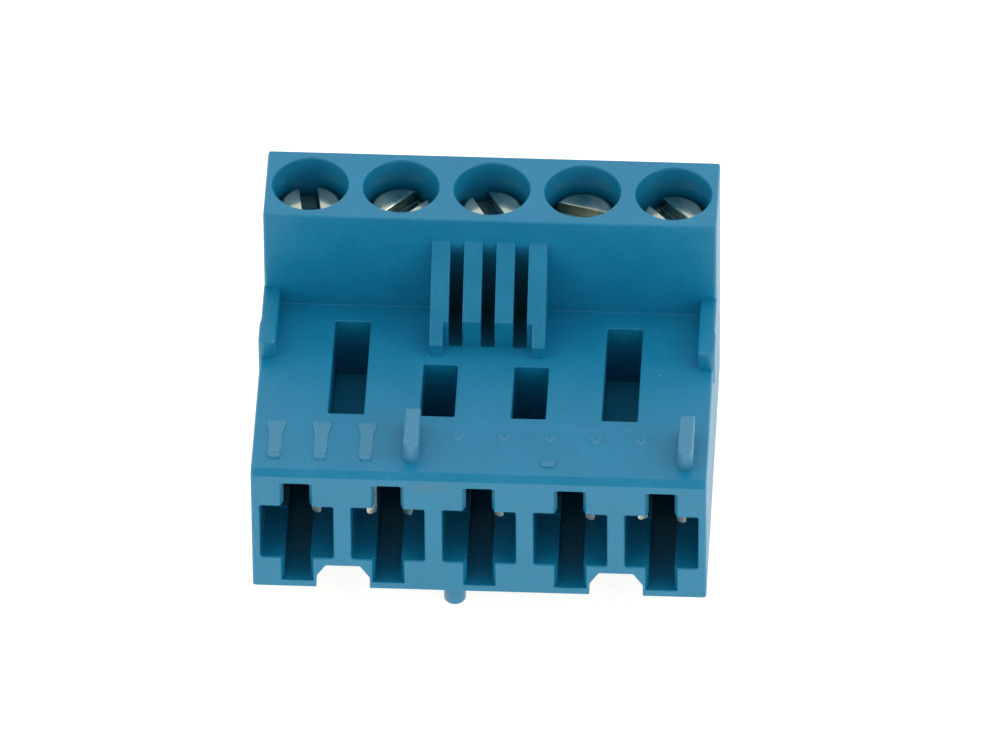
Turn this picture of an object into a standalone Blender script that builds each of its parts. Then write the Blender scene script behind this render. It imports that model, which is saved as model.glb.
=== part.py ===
"""Five-pole pluggable screw-terminal connector for 6.3 x 0.8 mm tabs, at a 5 mm pitch.

Frame: +Z is up, -Y is the mating face, +Y is the wire side, and the origin is the centre of the underside.
"""

import math

import bmesh
import bpy
from mathutils import Matrix, Vector

MM = 0.001

# Poles
POLES = 5
PITCH = 5.0 * MM

# Housing outline
WIDTH = 24.94 * MM
DEPTH = 18.86 * MM
FRONT = -DEPTH / 2
REAR = DEPTH / 2
TERRACE_Z = 8.6 * MM
TOP_Z = 15.18 * MM
TOP_FACE_DEPTH = 5.25 * MM
WALL_Y = REAR - TOP_FACE_DEPTH
TERRACE_CHAMFER = 0.36 * MM

# Screw and its holes
SCREW_Y = (WALL_Y + REAR) / 2
ACCESS_RADIUS = 2.11 * MM
SHELF_TOP_Z = 12.2 * MM
SHELF_THICKNESS = 0.5 * MM
SHANK_HOLE_RADIUS = 1.5 * MM
HEAD_RADIUS = 1.75 * MM
HEAD_TOP_Z = 13.55 * MM
HEAD_BASE_Z = 12.28 * MM
HEAD_CHAMFER = 0.15 * MM
SHANK_RADIUS = 1.3 * MM
SHANK_TIP_Z = 6.9 * MM
SHANK_TIP_CHAMFER = 0.3 * MM
SLOT_WIDTH = 0.95 * MM
SLOT_DEPTH = 0.85 * MM
SLOT_TURNS_DEG = (9.0, -43.0, 28.0, 75.0, 42.0)

# Rising clamp cage
CAGE_WIDTH = 3.9 * MM
CAGE_DEPTH = 3.8 * MM
CAGE_BASE_Z = 2.4 * MM
CAGE_TOP_Z = 9.6 * MM
CAGE_FLOOR = 0.7 * MM
CAGE_HEAD = 1.5 * MM
CAGE_SIDE = 0.5 * MM
CAGE_HOLE_RADIUS = 1.38 * MM
CAGE_ROOM_WIDTH = 4.1 * MM
CAGE_ROOM_FRONT = WALL_Y + 0.6 * MM
CAGE_ROOM_FLOOR_Z = 2.2 * MM

# Mating cavities, from the front face inwards
BLADE_SLOT_WIDTH = 1.43 * MM
BLADE_SLOT_LOW_Z = 0.5 * MM
BLADE_SLOT_HIGH_Z = 7.75 * MM
BLADE_SLOT_REACH = 8.3 * MM
MOUTH_WIDTH = 4.05 * MM
MOUTH_LOW_Z = 2.2 * MM
MOUTH_HIGH_Z = 6.05 * MM
MOUTH_REACH = 4.0 * MM
LIP = 0.6 * MM
FLARE_ROOM_WIDTH = 3.0 * MM
FLARE_ROOM_LOW_Z = 5.0 * MM
CHAMBER_WIDTH = 2.6 * MM
CHAMBER_LOW_Z = 2.3 * MM
CHAMBER_HIGH_Z = 7.9 * MM

# Contact: two leaves on a current bar
BAR_WIDTH = 2.26 * MM
BAR_LOW_Z = 6.0 * MM
BAR_HIGH_Z = 6.8 * MM
BAR_FRONT = FRONT + 8.0 * MM
BAR_REAR = REAR - 0.35 * MM
LEAF_THICKNESS = 0.35 * MM
LEAF_LOW_Z = 2.4 * MM
LEAF_HIGH_Z = 7.3 * MM
LEAF_CUT_Z = 5.1 * MM
LEAF_CUT_Y = FRONT + 3.6 * MM
LEAF_STATIONS = 18
# Half the gap between the leaves at each distance behind the front face
LEAF_GAPS = (
    (0.85 * MM, 0.98 * MM),
    (2.70 * MM, 0.36 * MM),
    (6.60 * MM, 0.50 * MM),
    (7.80 * MM, 0.80 * MM),
    (8.80 * MM, 0.80 * MM),
)

# Helper spring: a steel arch over both leaves
SPRING_THICKNESS = 0.25 * MM
SPRING_HALF_WIDTH = 1.2 * MM
SPRING_LOW_Z = 2.45 * MM
SPRING_HIGH_Z = 7.7 * MM
SPRING_CORNER = 0.5 * MM
SPRING_FRONT = FRONT + 4.1 * MM
SPRING_LENGTH = 2.4 * MM
CORNER_STEPS = 6

# Core slots in the terrace
CORE_DEPTH = 4.0 * MM
CORE_FRONT = WALL_Y - 8.75 * MM
LONG_CORE_WIDTH = 1.97 * MM
LONG_CORE_REAR = WALL_Y - 1.3 * MM
LONG_CORE_X = 1.5 * PITCH
SHORT_CORE_WIDTH = 1.9 * MM
SHORT_CORE_REAR = WALL_Y - 4.6 * MM
SHORT_CORE_X = 0.5 * PITCH

# Fins on the wall, over the middle pole
FIN_PITCH = 1.78 * MM
FIN_WIDTH = 1.03 * MM
FIN_REACH = 3.0 * MM
FIN_FOOT_HEIGHT = 1.75 * MM
FIN_HEIGHT = 5.0 * MM
FIN_TOE_WIDTH = 0.74 * MM
FIN_TOE_REACH = 3.9 * MM
FIN_TOE_HEIGHT = 0.75 * MM
FIN_GAP_INTO_WALL = 0.35 * MM
FIN_GAP_INTO_TERRACE = 0.4 * MM
FIN_GAP_SLOPE = 1.5 * MM

# Side ears and coding ribs on the terrace
EAR_WIDTH = 0.88 * MM
EAR_LENGTH = 4.45 * MM
EAR_HEIGHT = 1.15 * MM
EAR_PROUD = 0.03 * MM
EAR_BULGE = 0.1 * MM
EAR_BULGE_LENGTH = 1.6 * MM
EAR_NOSE = 0.25 * MM
RIB_PITCH = PITCH / 2
RIB_WIDTH = 0.85 * MM
RIB_LENGTH = 3.05 * MM
RIB_HEIGHT = 1.3 * MM
RIB_REAR = FRONT + TERRACE_CHAMFER + 3.75 * MM
RIB_PLACES = (4, 10)
STUB_PLACES = (1, 2, 3)
STUB_WIDTH = 0.83 * MM
STUB_HEIGHT = 0.15 * MM

# Polarising grooves and key peg under the front edge
GROOVE_X = 1.5 * PITCH
GROOVE_WIDTH = 2.94 * MM
GROOVE_HEIGHT = 1.64 * MM
GROOVE_CORNER_WIDTH = 0.53 * MM
GROOVE_CORNER_HEIGHT = 0.83 * MM
GROOVE_REACH = 8.0 * MM
PEG_X = -1.4 * MM
PEG_Y = FRONT + 0.97 * MM
PEG_RADIUS = 0.6 * MM
PEG_LENGTH = 1.4 * MM

# How far a cutter runs past a face, how far a raised feature is rooted in its base,
# and the small step that keeps two overlapping shapes from sharing a plane
OVERRUN = 0.2 * MM
ROOT = 0.25 * MM
STEP = 0.05 * MM
WELD = 0.0001 * MM
FACETS = 40

# Colour, roughness and metallic value of each finish
FINISHES = {
    "blue_polyamide": ((0.017, 0.188, 0.342), 0.45, 0.0),
    "zinc_plated_steel": ((0.62, 0.62, 0.58), 0.28, 1.0),
    "nickel_plated_steel": ((0.55, 0.53, 0.49), 0.32, 1.0),
    "tinned_copper_alloy": ((0.78, 0.70, 0.55), 0.35, 1.0),
    "stainless_spring_steel": ((0.50, 0.50, 0.50), 0.30, 1.0),
}


def clear_scene():
    for old in list(bpy.data.objects):
        bpy.data.objects.remove(old, do_unlink=True)


def new_collection(name):
    collection = bpy.data.collections.new(name)
    bpy.context.scene.collection.children.link(collection)
    return collection


def material(name):
    found = bpy.data.materials.get(name)
    if found:
        return found
    colour, roughness, metallic = FINISHES[name]
    made = bpy.data.materials.new(name)
    made.use_nodes = True
    shader = made.node_tree.nodes["Principled BSDF"]
    shader.inputs["Base Color"].default_value = (*colour, 1.0)
    shader.inputs["Roughness"].default_value = roughness
    shader.inputs["Metallic"].default_value = metallic
    made.diffuse_color = (*colour, 1.0)
    return made


def new_object(name, shape, collection, place=(0.0, 0.0, 0.0)):
    """Puts a finished bmesh into a new object at a place, and frees the bmesh."""
    mesh = bpy.data.meshes.new(name)
    shape.to_mesh(mesh)
    shape.free()
    made = bpy.data.objects.new(name, mesh)
    made.location = place
    collection.objects.link(made)
    return made


def box(name, low, high, collection):
    low = Vector(low)
    high = Vector(high)
    shape = bmesh.new()
    bmesh.ops.create_cube(shape, size=1.0, matrix=Matrix.Diagonal((*(high - low), 1.0)))
    return new_object(name, shape, collection, (low + high) / 2)


def cylinder(name, centre, radius, low_z, high_z, collection):
    """An upright cylinder whose axis passes through centre, an (x, y) pair."""
    shape = bmesh.new()
    bmesh.ops.create_cone(
        shape,
        cap_ends=True,
        segments=FACETS,
        radius1=radius,
        radius2=radius,
        depth=high_z - low_z,
    )
    return new_object(name, shape, collection, (*centre, (low_z + high_z) / 2))


def plate(name, outline, thickness, turn, place, collection):
    """A flat outline made solid: extruded by half its thickness each way, turned and placed."""
    curve = bpy.data.curves.new(name + "_outline", "CURVE")
    curve.dimensions = "2D"
    curve.fill_mode = "BOTH"
    curve.extrude = thickness / 2
    spline = curve.splines.new("POLY")
    spline.points.add(len(outline) - 1)
    for point, (across, up) in zip(spline.points, outline):
        point.co = (across, up, 0.0, 1.0)
    spline.use_cyclic_u = True
    guide = bpy.data.objects.new(name + "_outline", curve)
    collection.objects.link(guide)
    bpy.context.view_layer.update()
    mesh = bpy.data.meshes.new_from_object(guide.evaluated_get(bpy.context.evaluated_depsgraph_get()))
    shape = bmesh.new()
    shape.from_mesh(mesh)
    bmesh.ops.remove_doubles(shape, verts=shape.verts, dist=WELD)
    bmesh.ops.recalc_face_normals(shape, faces=shape.faces)
    bpy.data.objects.remove(guide, do_unlink=True)
    bpy.data.meshes.remove(mesh)
    made = new_object(name, shape, collection)
    made.matrix_world = Matrix.Translation(place) @ turn
    return made


# Turns for plate(): the outline's first and second numbers become these two world axes
IN_YZ = Matrix(((0, 0, 1, 0), (1, 0, 0, 0), (0, 1, 0, 0), (0, 0, 0, 1)))
IN_XZ = Matrix(((1, 0, 0, 0), (0, 0, -1, 0), (0, 1, 0, 0), (0, 0, 0, 1)))
IN_XY = Matrix.Identity(4)


def boolean(target, tools, operation):
    """Cuts from target, or adds to it, every object of the collection tools."""
    modifier = target.modifiers.new(operation.lower(), "BOOLEAN")
    modifier.operation = operation
    modifier.solver = "EXACT"
    modifier.operand_type = "COLLECTION"
    modifier.collection = tools
    for tool in tools.objects:
        tool.hide_render = True
        tool.display_type = "WIRE"


def pole_x(number):
    """The middle of pole 1 to POLES, counted from -X."""
    return (number - (POLES + 1) / 2) * PITCH


def rib_x(number):
    """The middle of coding place 1 to 2 * POLES, counted from -X."""
    return (number - (2 * POLES + 1) / 2) * RIB_PITCH


def blend(stations, where):
    """A smooth value between the (place, value) stations, level at each of them."""
    for (start, first), (end, second) in zip(stations, stations[1:]):
        if where <= end:
            share = (where - start) / (end - start)
            return first + (second - first) * (1 - math.cos(math.pi * share)) / 2
    return stations[-1][1]


def housing_outline():
    """The side profile of the housing, in Y and Z: a front terrace and a tall rear block."""
    return [
        (FRONT, 0.0),
        (FRONT, TERRACE_Z - TERRACE_CHAMFER),
        (FRONT + TERRACE_CHAMFER, TERRACE_Z),
        (WALL_Y, TERRACE_Z),
        (WALL_Y, TOP_Z),
        (REAR, TOP_Z),
        (REAR, 0.0),
    ]


def fin_outline():
    """The fins' side profile: a slope down from the wall to an upright foot."""
    return [
        (WALL_Y + ROOT, TERRACE_Z - ROOT),
        (WALL_Y - FIN_REACH, TERRACE_Z - ROOT),
        (WALL_Y - FIN_REACH, TERRACE_Z + FIN_FOOT_HEIGHT),
        (WALL_Y, TERRACE_Z + FIN_HEIGHT),
        (WALL_Y + ROOT, TERRACE_Z + FIN_HEIGHT),
    ]


def fin_toe_outline():
    """The narrow toe that carries an outer fin's slope further forward."""
    heel = WALL_Y - FIN_REACH
    heel_height = FIN_FOOT_HEIGHT - STEP
    return [
        (heel + ROOT, TERRACE_Z - ROOT - STEP),
        (WALL_Y - FIN_TOE_REACH, TERRACE_Z - ROOT - STEP),
        (WALL_Y - FIN_TOE_REACH, TERRACE_Z + FIN_TOE_HEIGHT),
        (heel, TERRACE_Z + heel_height),
        (heel + ROOT, TERRACE_Z + heel_height),
    ]


def fin_gap_outline():
    """The side profile of the gap between two fins, which runs a little into the wall and terrace."""
    past_foot = WALL_Y - FIN_REACH - OVERRUN
    top = TERRACE_Z + FIN_HEIGHT + STEP
    return [
        (past_foot, TERRACE_Z - FIN_GAP_INTO_TERRACE),
        (WALL_Y + FIN_GAP_INTO_WALL, TERRACE_Z - FIN_GAP_INTO_TERRACE),
        (WALL_Y + FIN_GAP_INTO_WALL, top - FIN_GAP_SLOPE),
        (WALL_Y - STEP, top),
        (past_foot, top),
    ]


def add_fins(raised):
    """One block across the wall, which cut_terrace() parts into four fins, and a toe at each end."""
    block_width = 3 * FIN_PITCH + FIN_WIDTH
    plate("fin_block", fin_outline(), block_width, IN_YZ, (0.0, 0.0, 0.0), raised)
    for side in (-1, 1):
        middle = side * (block_width / 2 - STEP - FIN_TOE_WIDTH / 2)
        plate("fin_toe", fin_toe_outline(), FIN_TOE_WIDTH, IN_YZ, (middle, 0.0, 0.0), raised)


def ear_outline(side):
    """An ear in plan: a straight rib from the wall, with a small outward bulge behind its nose."""
    outer = WIDTH / 2 + EAR_PROUD
    bulged = WIDTH / 2 + EAR_BULGE
    inner = WIDTH / 2 - EAR_WIDTH
    front = WALL_Y - EAR_LENGTH
    points = [
        (inner, WALL_Y + ROOT),
        (inner, front + EAR_NOSE),
        (inner + EAR_NOSE, front),
        (bulged - EAR_NOSE, front),
        (bulged, front + EAR_NOSE),
        (bulged, front + EAR_BULGE_LENGTH),
        (outer, front + EAR_BULGE_LENGTH + EAR_NOSE),
        (outer, WALL_Y + ROOT),
    ]
    return [(side * x, y) for x, y in points]


def add_ears(raised):
    for side in (-1, 1):
        plate(
            "ear",
            ear_outline(side),
            EAR_HEIGHT + ROOT,
            IN_XY,
            (0.0, 0.0, TERRACE_Z + (EAR_HEIGHT - ROOT) / 2),
            raised,
        )


def round_nosed_outline(width, length):
    """A plan outline with a half-round front end: (x, y) points, with the rear end at y = 0."""
    half = width / 2
    nose = [math.pi + math.pi * step / CORNER_STEPS for step in range(CORNER_STEPS + 1)]
    points = [(half * math.cos(angle), half - length + half * math.sin(angle)) for angle in nose]
    return points + [(half, 0.0), (-half, 0.0)]


def add_coding(raised):
    for number in RIB_PLACES + STUB_PLACES:
        width = RIB_WIDTH if number in RIB_PLACES else STUB_WIDTH
        height = RIB_HEIGHT if number in RIB_PLACES else STUB_HEIGHT
        plate(
            "coding_rib",
            round_nosed_outline(width, RIB_LENGTH),
            height + ROOT,
            IN_XY,
            (rib_x(number), RIB_REAR, TERRACE_Z + (height - ROOT) / 2),
            raised,
        )


def groove_outline():
    half = GROOVE_WIDTH / 2
    shoulder = half - GROOVE_CORNER_WIDTH
    shoulder_z = GROOVE_HEIGHT - GROOVE_CORNER_HEIGHT
    return [
        (-half, -OVERRUN),
        (half, -OVERRUN),
        (half, shoulder_z),
        (shoulder, GROOVE_HEIGHT),
        (-shoulder, GROOVE_HEIGHT),
        (-half, shoulder_z),
    ]


def cut_pole(middle, cutters):
    """The passage of one pole, from the mating face through to the wire side, and its screw hole."""

    def room(name, width, front, rear, low_z, high_z):
        box(name, (middle - width / 2, front, low_z), (middle + width / 2, rear, high_z), cutters)

    past_front = FRONT - OVERRUN
    mouth_rear = FRONT + MOUTH_REACH
    shelf_base = SHELF_TOP_Z - SHELF_THICKNESS
    room(
        "blade_slot",
        BLADE_SLOT_WIDTH,
        past_front,
        FRONT + BLADE_SLOT_REACH,
        BLADE_SLOT_LOW_Z,
        BLADE_SLOT_HIGH_Z,
    )
    room("mouth", MOUTH_WIDTH, past_front, mouth_rear, MOUTH_LOW_Z, MOUTH_HIGH_Z)
    room(
        "flare_room",
        FLARE_ROOM_WIDTH,
        FRONT + LIP,
        mouth_rear - STEP,
        FLARE_ROOM_LOW_Z,
        CHAMBER_HIGH_Z - STEP,
    )
    room(
        "chamber",
        CHAMBER_WIDTH,
        mouth_rear - OVERRUN,
        CAGE_ROOM_FRONT + OVERRUN,
        CHAMBER_LOW_Z,
        CHAMBER_HIGH_Z,
    )
    room(
        "cage_room",
        CAGE_ROOM_WIDTH,
        CAGE_ROOM_FRONT,
        REAR + OVERRUN,
        CAGE_ROOM_FLOOR_Z,
        shelf_base,
    )
    axis = (middle, SCREW_Y)
    shank_hole_top = SHELF_TOP_Z + OVERRUN
    cylinder("shank_hole", axis, SHANK_HOLE_RADIUS, shelf_base - OVERRUN, shank_hole_top, cutters)
    cylinder("access_hole", axis, ACCESS_RADIUS, SHELF_TOP_Z, TOP_Z + OVERRUN, cutters)


def cut_terrace(cutters):
    core_floor = TERRACE_Z - CORE_DEPTH
    past_top = TERRACE_Z + OVERRUN
    for side in (-1, 1):
        for centre, width, rear in (
            (side * LONG_CORE_X, LONG_CORE_WIDTH, LONG_CORE_REAR),
            (side * SHORT_CORE_X, SHORT_CORE_WIDTH, SHORT_CORE_REAR),
        ):
            box(
                "core_slot",
                (centre - width / 2, CORE_FRONT, core_floor),
                (centre + width / 2, rear, past_top),
                cutters,
            )
    gap = FIN_PITCH - FIN_WIDTH
    for place in (-1, 0, 1):
        plate("fin_gap", fin_gap_outline(), gap, IN_YZ, (place * FIN_PITCH, 0.0, 0.0), cutters)


def build_housing(parts):
    housing = plate("housing", housing_outline(), WIDTH, IN_YZ, (0.0, 0.0, 0.0), parts)
    raised = new_collection("housing_raised_features")
    add_fins(raised)
    add_ears(raised)
    add_coding(raised)
    cylinder("key_peg", (PEG_X, PEG_Y), PEG_RADIUS, -PEG_LENGTH, ROOT, raised)
    cutters = new_collection("housing_cutters")
    for number in range(1, POLES + 1):
        cut_pole(pole_x(number), cutters)
    cut_terrace(cutters)
    for side in (-1, 1):
        plate(
            "polarising_groove",
            groove_outline(),
            GROOVE_REACH + OVERRUN,
            IN_XZ,
            (side * GROOVE_X, FRONT + (GROOVE_REACH - OVERRUN) / 2, 0.0),
            cutters,
        )
    boolean(housing, raised, "UNION")
    boolean(housing, cutters, "DIFFERENCE")
    housing.data.materials.append(material("blue_polyamide"))


def build_screw(number, parts):
    """A slotted screw on its own axis. Its thread is shown at its mean size, as a plain shank."""
    profile = [
        (0.0, HEAD_TOP_Z),
        (HEAD_RADIUS - HEAD_CHAMFER, HEAD_TOP_Z),
        (HEAD_RADIUS, HEAD_TOP_Z - HEAD_CHAMFER),
        (HEAD_RADIUS, HEAD_BASE_Z),
        (SHANK_RADIUS, HEAD_BASE_Z),
        (SHANK_RADIUS, SHANK_TIP_Z + SHANK_TIP_CHAMFER),
        (SHANK_RADIUS - SHANK_TIP_CHAMFER, SHANK_TIP_Z),
        (0.0, SHANK_TIP_Z),
    ]
    shape = bmesh.new()
    points = [shape.verts.new((radius, 0.0, height)) for radius, height in profile]
    for start, end in zip(points, points[1:]):
        shape.edges.new((start, end))
    screw = new_object(f"terminal_screw_{number}", shape, parts, (pole_x(number), SCREW_Y, 0.0))
    turning = screw.modifiers.new("turning", "SCREW")
    turning.steps = FACETS
    turning.render_steps = FACETS
    turning.use_merge_vertices = True
    turning.merge_threshold = WELD
    slot = new_collection(f"screw_slot_{number}")
    cutter = box(
        "driver_slot",
        (-SLOT_WIDTH / 2, -HEAD_RADIUS - OVERRUN, HEAD_TOP_Z - SLOT_DEPTH),
        (SLOT_WIDTH / 2, HEAD_RADIUS + OVERRUN, HEAD_TOP_Z + OVERRUN),
        slot,
    )
    cutter.location.x = screw.location.x
    cutter.location.y = screw.location.y
    cutter.rotation_euler.z = math.radians(SLOT_TURNS_DEG[number - 1])
    boolean(screw, slot, "DIFFERENCE")
    screw.data.materials.append(material("zinc_plated_steel"))


def build_cage(number, parts):
    """The clamp cage: a tapped head, two sides and a floor, open along Y for the bar and the wire."""
    middle = pole_x(number)
    half_depth = CAGE_DEPTH / 2
    cage = box(
        f"clamp_cage_{number}",
        (middle - CAGE_WIDTH / 2, SCREW_Y - half_depth, CAGE_BASE_Z),
        (middle + CAGE_WIDTH / 2, SCREW_Y + half_depth, CAGE_TOP_Z),
        parts,
    )
    cutters = new_collection(f"cage_cutters_{number}")
    inside = CAGE_WIDTH / 2 - CAGE_SIDE
    box(
        "wire_window",
        (middle - inside, SCREW_Y - half_depth - OVERRUN, CAGE_BASE_Z + CAGE_FLOOR),
        (middle + inside, SCREW_Y + half_depth + OVERRUN, CAGE_TOP_Z - CAGE_HEAD),
        cutters,
    )
    cylinder(
        "tapped_hole",
        (middle, SCREW_Y),
        CAGE_HOLE_RADIUS,
        CAGE_TOP_Z - CAGE_HEAD - OVERRUN,
        CAGE_TOP_Z + OVERRUN,
        cutters,
    )
    boolean(cage, cutters, "DIFFERENCE")
    cage.data.materials.append(material("nickel_plated_steel"))


def leaf_outline(side):
    """One leaf in plan: in from its flared tip, along the tab, and out again to its root."""
    tip = LEAF_GAPS[0][0]
    root = LEAF_GAPS[-1][0]
    inner = []
    for step in range(LEAF_STATIONS + 1):
        reach = tip + (root - tip) * step / LEAF_STATIONS
        inner.append((blend(LEAF_GAPS, reach), FRONT + reach))
    outer = [(gap + LEAF_THICKNESS, y) for gap, y in reversed(inner)]
    return [(side * x, y) for x, y in inner + outer]


def build_contact(number, parts):
    middle = pole_x(number)
    contact = box(
        f"contact_{number}",
        (middle - BAR_WIDTH / 2, BAR_FRONT, BAR_LOW_Z),
        (middle + BAR_WIDTH / 2, BAR_REAR, BAR_HIGH_Z),
        parts,
    )
    leaves = new_collection(f"contact_leaves_{number}")
    for side in (-1, 1):
        plate(
            "leaf",
            leaf_outline(side),
            LEAF_HIGH_Z - LEAF_LOW_Z,
            IN_XY,
            (middle, 0.0, (LEAF_LOW_Z + LEAF_HIGH_Z) / 2),
            leaves,
        )
    relief = new_collection(f"contact_relief_{number}")
    box(
        "leaf_relief",
        (middle - BAR_WIDTH, FRONT, LEAF_LOW_Z - OVERRUN),
        (middle + BAR_WIDTH, LEAF_CUT_Y, LEAF_CUT_Z),
        relief,
    )
    boolean(contact, leaves, "UNION")
    boolean(contact, relief, "DIFFERENCE")
    contact.data.materials.append(material("tinned_copper_alloy"))


def arch_side(half, corner, top):
    """The right half of an arch's edge, from its foot up round its corner to the top."""
    turns = [math.pi / 2 * step / CORNER_STEPS for step in range(CORNER_STEPS + 1)]
    bend = [
        (half - corner + corner * math.cos(turn), top - corner + corner * math.sin(turn))
        for turn in turns
    ]
    return [(half, SPRING_LOW_Z)] + bend


def spring_outline():
    inner_corner = SPRING_CORNER - SPRING_THICKNESS
    outer = arch_side(SPRING_HALF_WIDTH, SPRING_CORNER, SPRING_HIGH_Z)
    inner = arch_side(
        SPRING_HALF_WIDTH - SPRING_THICKNESS,
        inner_corner,
        SPRING_HIGH_Z - SPRING_THICKNESS,
    )
    mirrored_outer = [(-x, z) for x, z in reversed(outer)]
    mirrored_inner = [(-x, z) for x, z in inner]
    return outer + mirrored_outer + mirrored_inner + list(reversed(inner))


def build_spring(number, parts):
    spring = plate(
        f"helper_spring_{number}",
        spring_outline(),
        SPRING_LENGTH,
        IN_XZ,
        (pole_x(number), SPRING_FRONT + SPRING_LENGTH / 2, 0.0),
        parts,
    )
    spring.data.materials.append(material("stainless_spring_steel"))


def main():
    clear_scene()
    parts = new_collection("pluggable_screw_terminal_connector")
    build_housing(parts)
    for number in range(1, POLES + 1):
        build_screw(number, parts)
        build_cage(number, parts)
        build_contact(number, parts)
        build_spring(number, parts)


main()
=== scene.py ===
"""Looks of the five-pole pluggable screw-terminal connector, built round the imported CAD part.

Lengths are in millimetres and become metres where a mesh is made.
"""

import math

import bmesh
import bpy
from mathutils import Matrix, Vector


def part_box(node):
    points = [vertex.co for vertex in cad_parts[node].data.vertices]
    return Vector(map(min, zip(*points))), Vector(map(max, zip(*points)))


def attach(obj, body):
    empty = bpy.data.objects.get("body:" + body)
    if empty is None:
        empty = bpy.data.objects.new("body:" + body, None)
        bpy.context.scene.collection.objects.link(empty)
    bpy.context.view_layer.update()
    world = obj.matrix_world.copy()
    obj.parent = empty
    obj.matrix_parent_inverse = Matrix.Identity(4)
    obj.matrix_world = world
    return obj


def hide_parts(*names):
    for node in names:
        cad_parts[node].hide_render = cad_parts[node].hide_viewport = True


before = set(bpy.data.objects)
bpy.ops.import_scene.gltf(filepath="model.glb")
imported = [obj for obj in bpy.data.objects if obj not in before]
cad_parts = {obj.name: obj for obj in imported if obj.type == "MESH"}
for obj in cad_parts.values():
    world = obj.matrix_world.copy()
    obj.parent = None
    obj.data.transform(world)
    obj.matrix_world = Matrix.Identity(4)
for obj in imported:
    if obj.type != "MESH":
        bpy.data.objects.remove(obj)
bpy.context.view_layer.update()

MM = 0.001


def node_box(node):
    """A CAD node's lowest and highest corner, in millimetres."""
    low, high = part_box(node)
    return low / MM, high / MM


# ---------------------------------------------------------------- sizes read from the frame

POLES = sum(1 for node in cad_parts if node.startswith("terminal_screw_"))
housing_low, housing_high = node_box("housing")
FRONT = housing_low.y
REAR = housing_high.y
TOP_Z = housing_high.z
PEG_LENGTH = -housing_low.z


def pole_axis(number):
    """The x and y of one pole's screw axis."""
    low, high = node_box(f"terminal_screw_{number}")
    middle = (low + high) / 2
    return middle.x, middle.y


PITCH = pole_axis(2)[0] - pole_axis(1)[0]
SCREW_Y = pole_axis(1)[1]
WALL_Y = 2 * SCREW_Y - REAR

# ---------------------------------------------------------------- sizes of the moulding

EAR_BULGE = 0.1
HALF_WIDTH = housing_high.x - EAR_BULGE
TERRACE_Z = 8.6
TERRACE_CHAMFER = 0.36
SIDE_ROUND = 0.16
SIDE_STEPS = 5
CORNER_STEPS = 5
OVERRUN = 0.3
ROOT = 0.3
RIM = 0.06

MOUTH_WIDTH = 4.05
MOUTH_LOW_Z = 2.2
MOUTH_HIGH_Z = 6.05
MOUTH_REACH = 4.0
BLADE_SLOT_WIDTH = 1.43
BLADE_SLOT_LOW_Z = 0.5
BLADE_SLOT_HIGH_Z = 7.75
BLADE_SLOT_REACH = 8.3
BLADE_LEAD_IN = 0.18
BLADE_LEAD_REACH = 0.4
LIP = 0.6
FLARE_ROOM_WIDTH = 3.0
FLARE_ROOM_LOW_Z = 5.0
CHAMBER_WIDTH = 2.6
CHAMBER_LOW_Z = 2.3
CHAMBER_HIGH_Z = 7.9
CAGE_ROOM_WIDTH = 4.1
CAGE_ROOM_FRONT = WALL_Y + 0.6
CAGE_ROOM_LOW_Z = 2.2
CAGE_ROOM_HIGH_Z = 11.7
WIRE_LEAD_IN = 0.3
SHELF_TOP_Z = 12.2
SHANK_HOLE_RADIUS = 1.5
ACCESS_RADIUS = 2.11

CORE_DEPTH = 4.0
CORE_FRONT = WALL_Y - 8.75
LONG_CORE_WIDTH = 1.97
LONG_CORE_REAR = WALL_Y - 1.3
SHORT_CORE_WIDTH = 1.9
SHORT_CORE_REAR = WALL_Y - 4.6

FIN_PITCH = 1.78
FIN_WIDTH = 1.03
FIN_REACH = 3.0
FIN_FOOT_HEIGHT = 1.75
FIN_HEIGHT = 5.0
FIN_TOE_WIDTH = 0.74
FIN_TOE_REACH = 3.9
FIN_GAP_DEPTH = 0.35
FIN_ROUND = 0.07
FIN_NOSE_ROUND = 0.12
FIN_PLACES = (-1.5, -0.5, 0.5, 1.5)
# Keeps a fin's toe a hair inside the fin, so that no two faces lie in one plane
TOE_CLEARANCE = 0.003

EAR_WIDTH = 0.88
EAR_LENGTH = 4.45
EAR_HEIGHT = 1.15
EAR_BULGE_LENGTH = 1.6
EAR_PROUD = 0.03
EAR_FOOT = 1.1
RIB_PITCH = PITCH / 2
RIB_WIDTH = 0.85
RIB_LENGTH = 3.05
RIB_HEIGHT = 1.3
RIB_REAR = FRONT + TERRACE_CHAMFER + 3.75
WHOLE_RIBS = (4, 10)
BROKEN_RIBS = (1, 2, 3)
TRACE_RIBS = (5, 6, 7, 8, 9)
STUB_WIDTH = 0.74
STUB_REAR_WIDTH = 1.05
STUB_HEIGHT = 0.05
STUB_PAD_HEIGHT = 0.12
TRACE_HEIGHT = 0.01
TRACE_PAD_RIB = 7
TRACE_PAD_HEIGHT = 0.1
# How pale the plastic is on whole ribs, on stubs and on the faint traces
WHITENING = (0.08, 0.07, 0.05)
CODING_STEP = 0.02
CODING_RAMP = 0.25

GROOVE_WIDTH = 2.94
GROOVE_HEIGHT = 1.64
GROOVE_CORNER_WIDTH = 0.53
GROOVE_CORNER_HEIGHT = 0.83
GROOVE_REACH = 8.0
PEG_X = -1.4
PEG_Y = FRONT + 0.97
PEG_RADIUS = 0.6
SMUDGE_PLACE = (-2.6, FRONT, 7.75)
SMUDGE_SIZE = (1.6, 0.6, 0.5)


# ---------------------------------------------------------------- outlines


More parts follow.
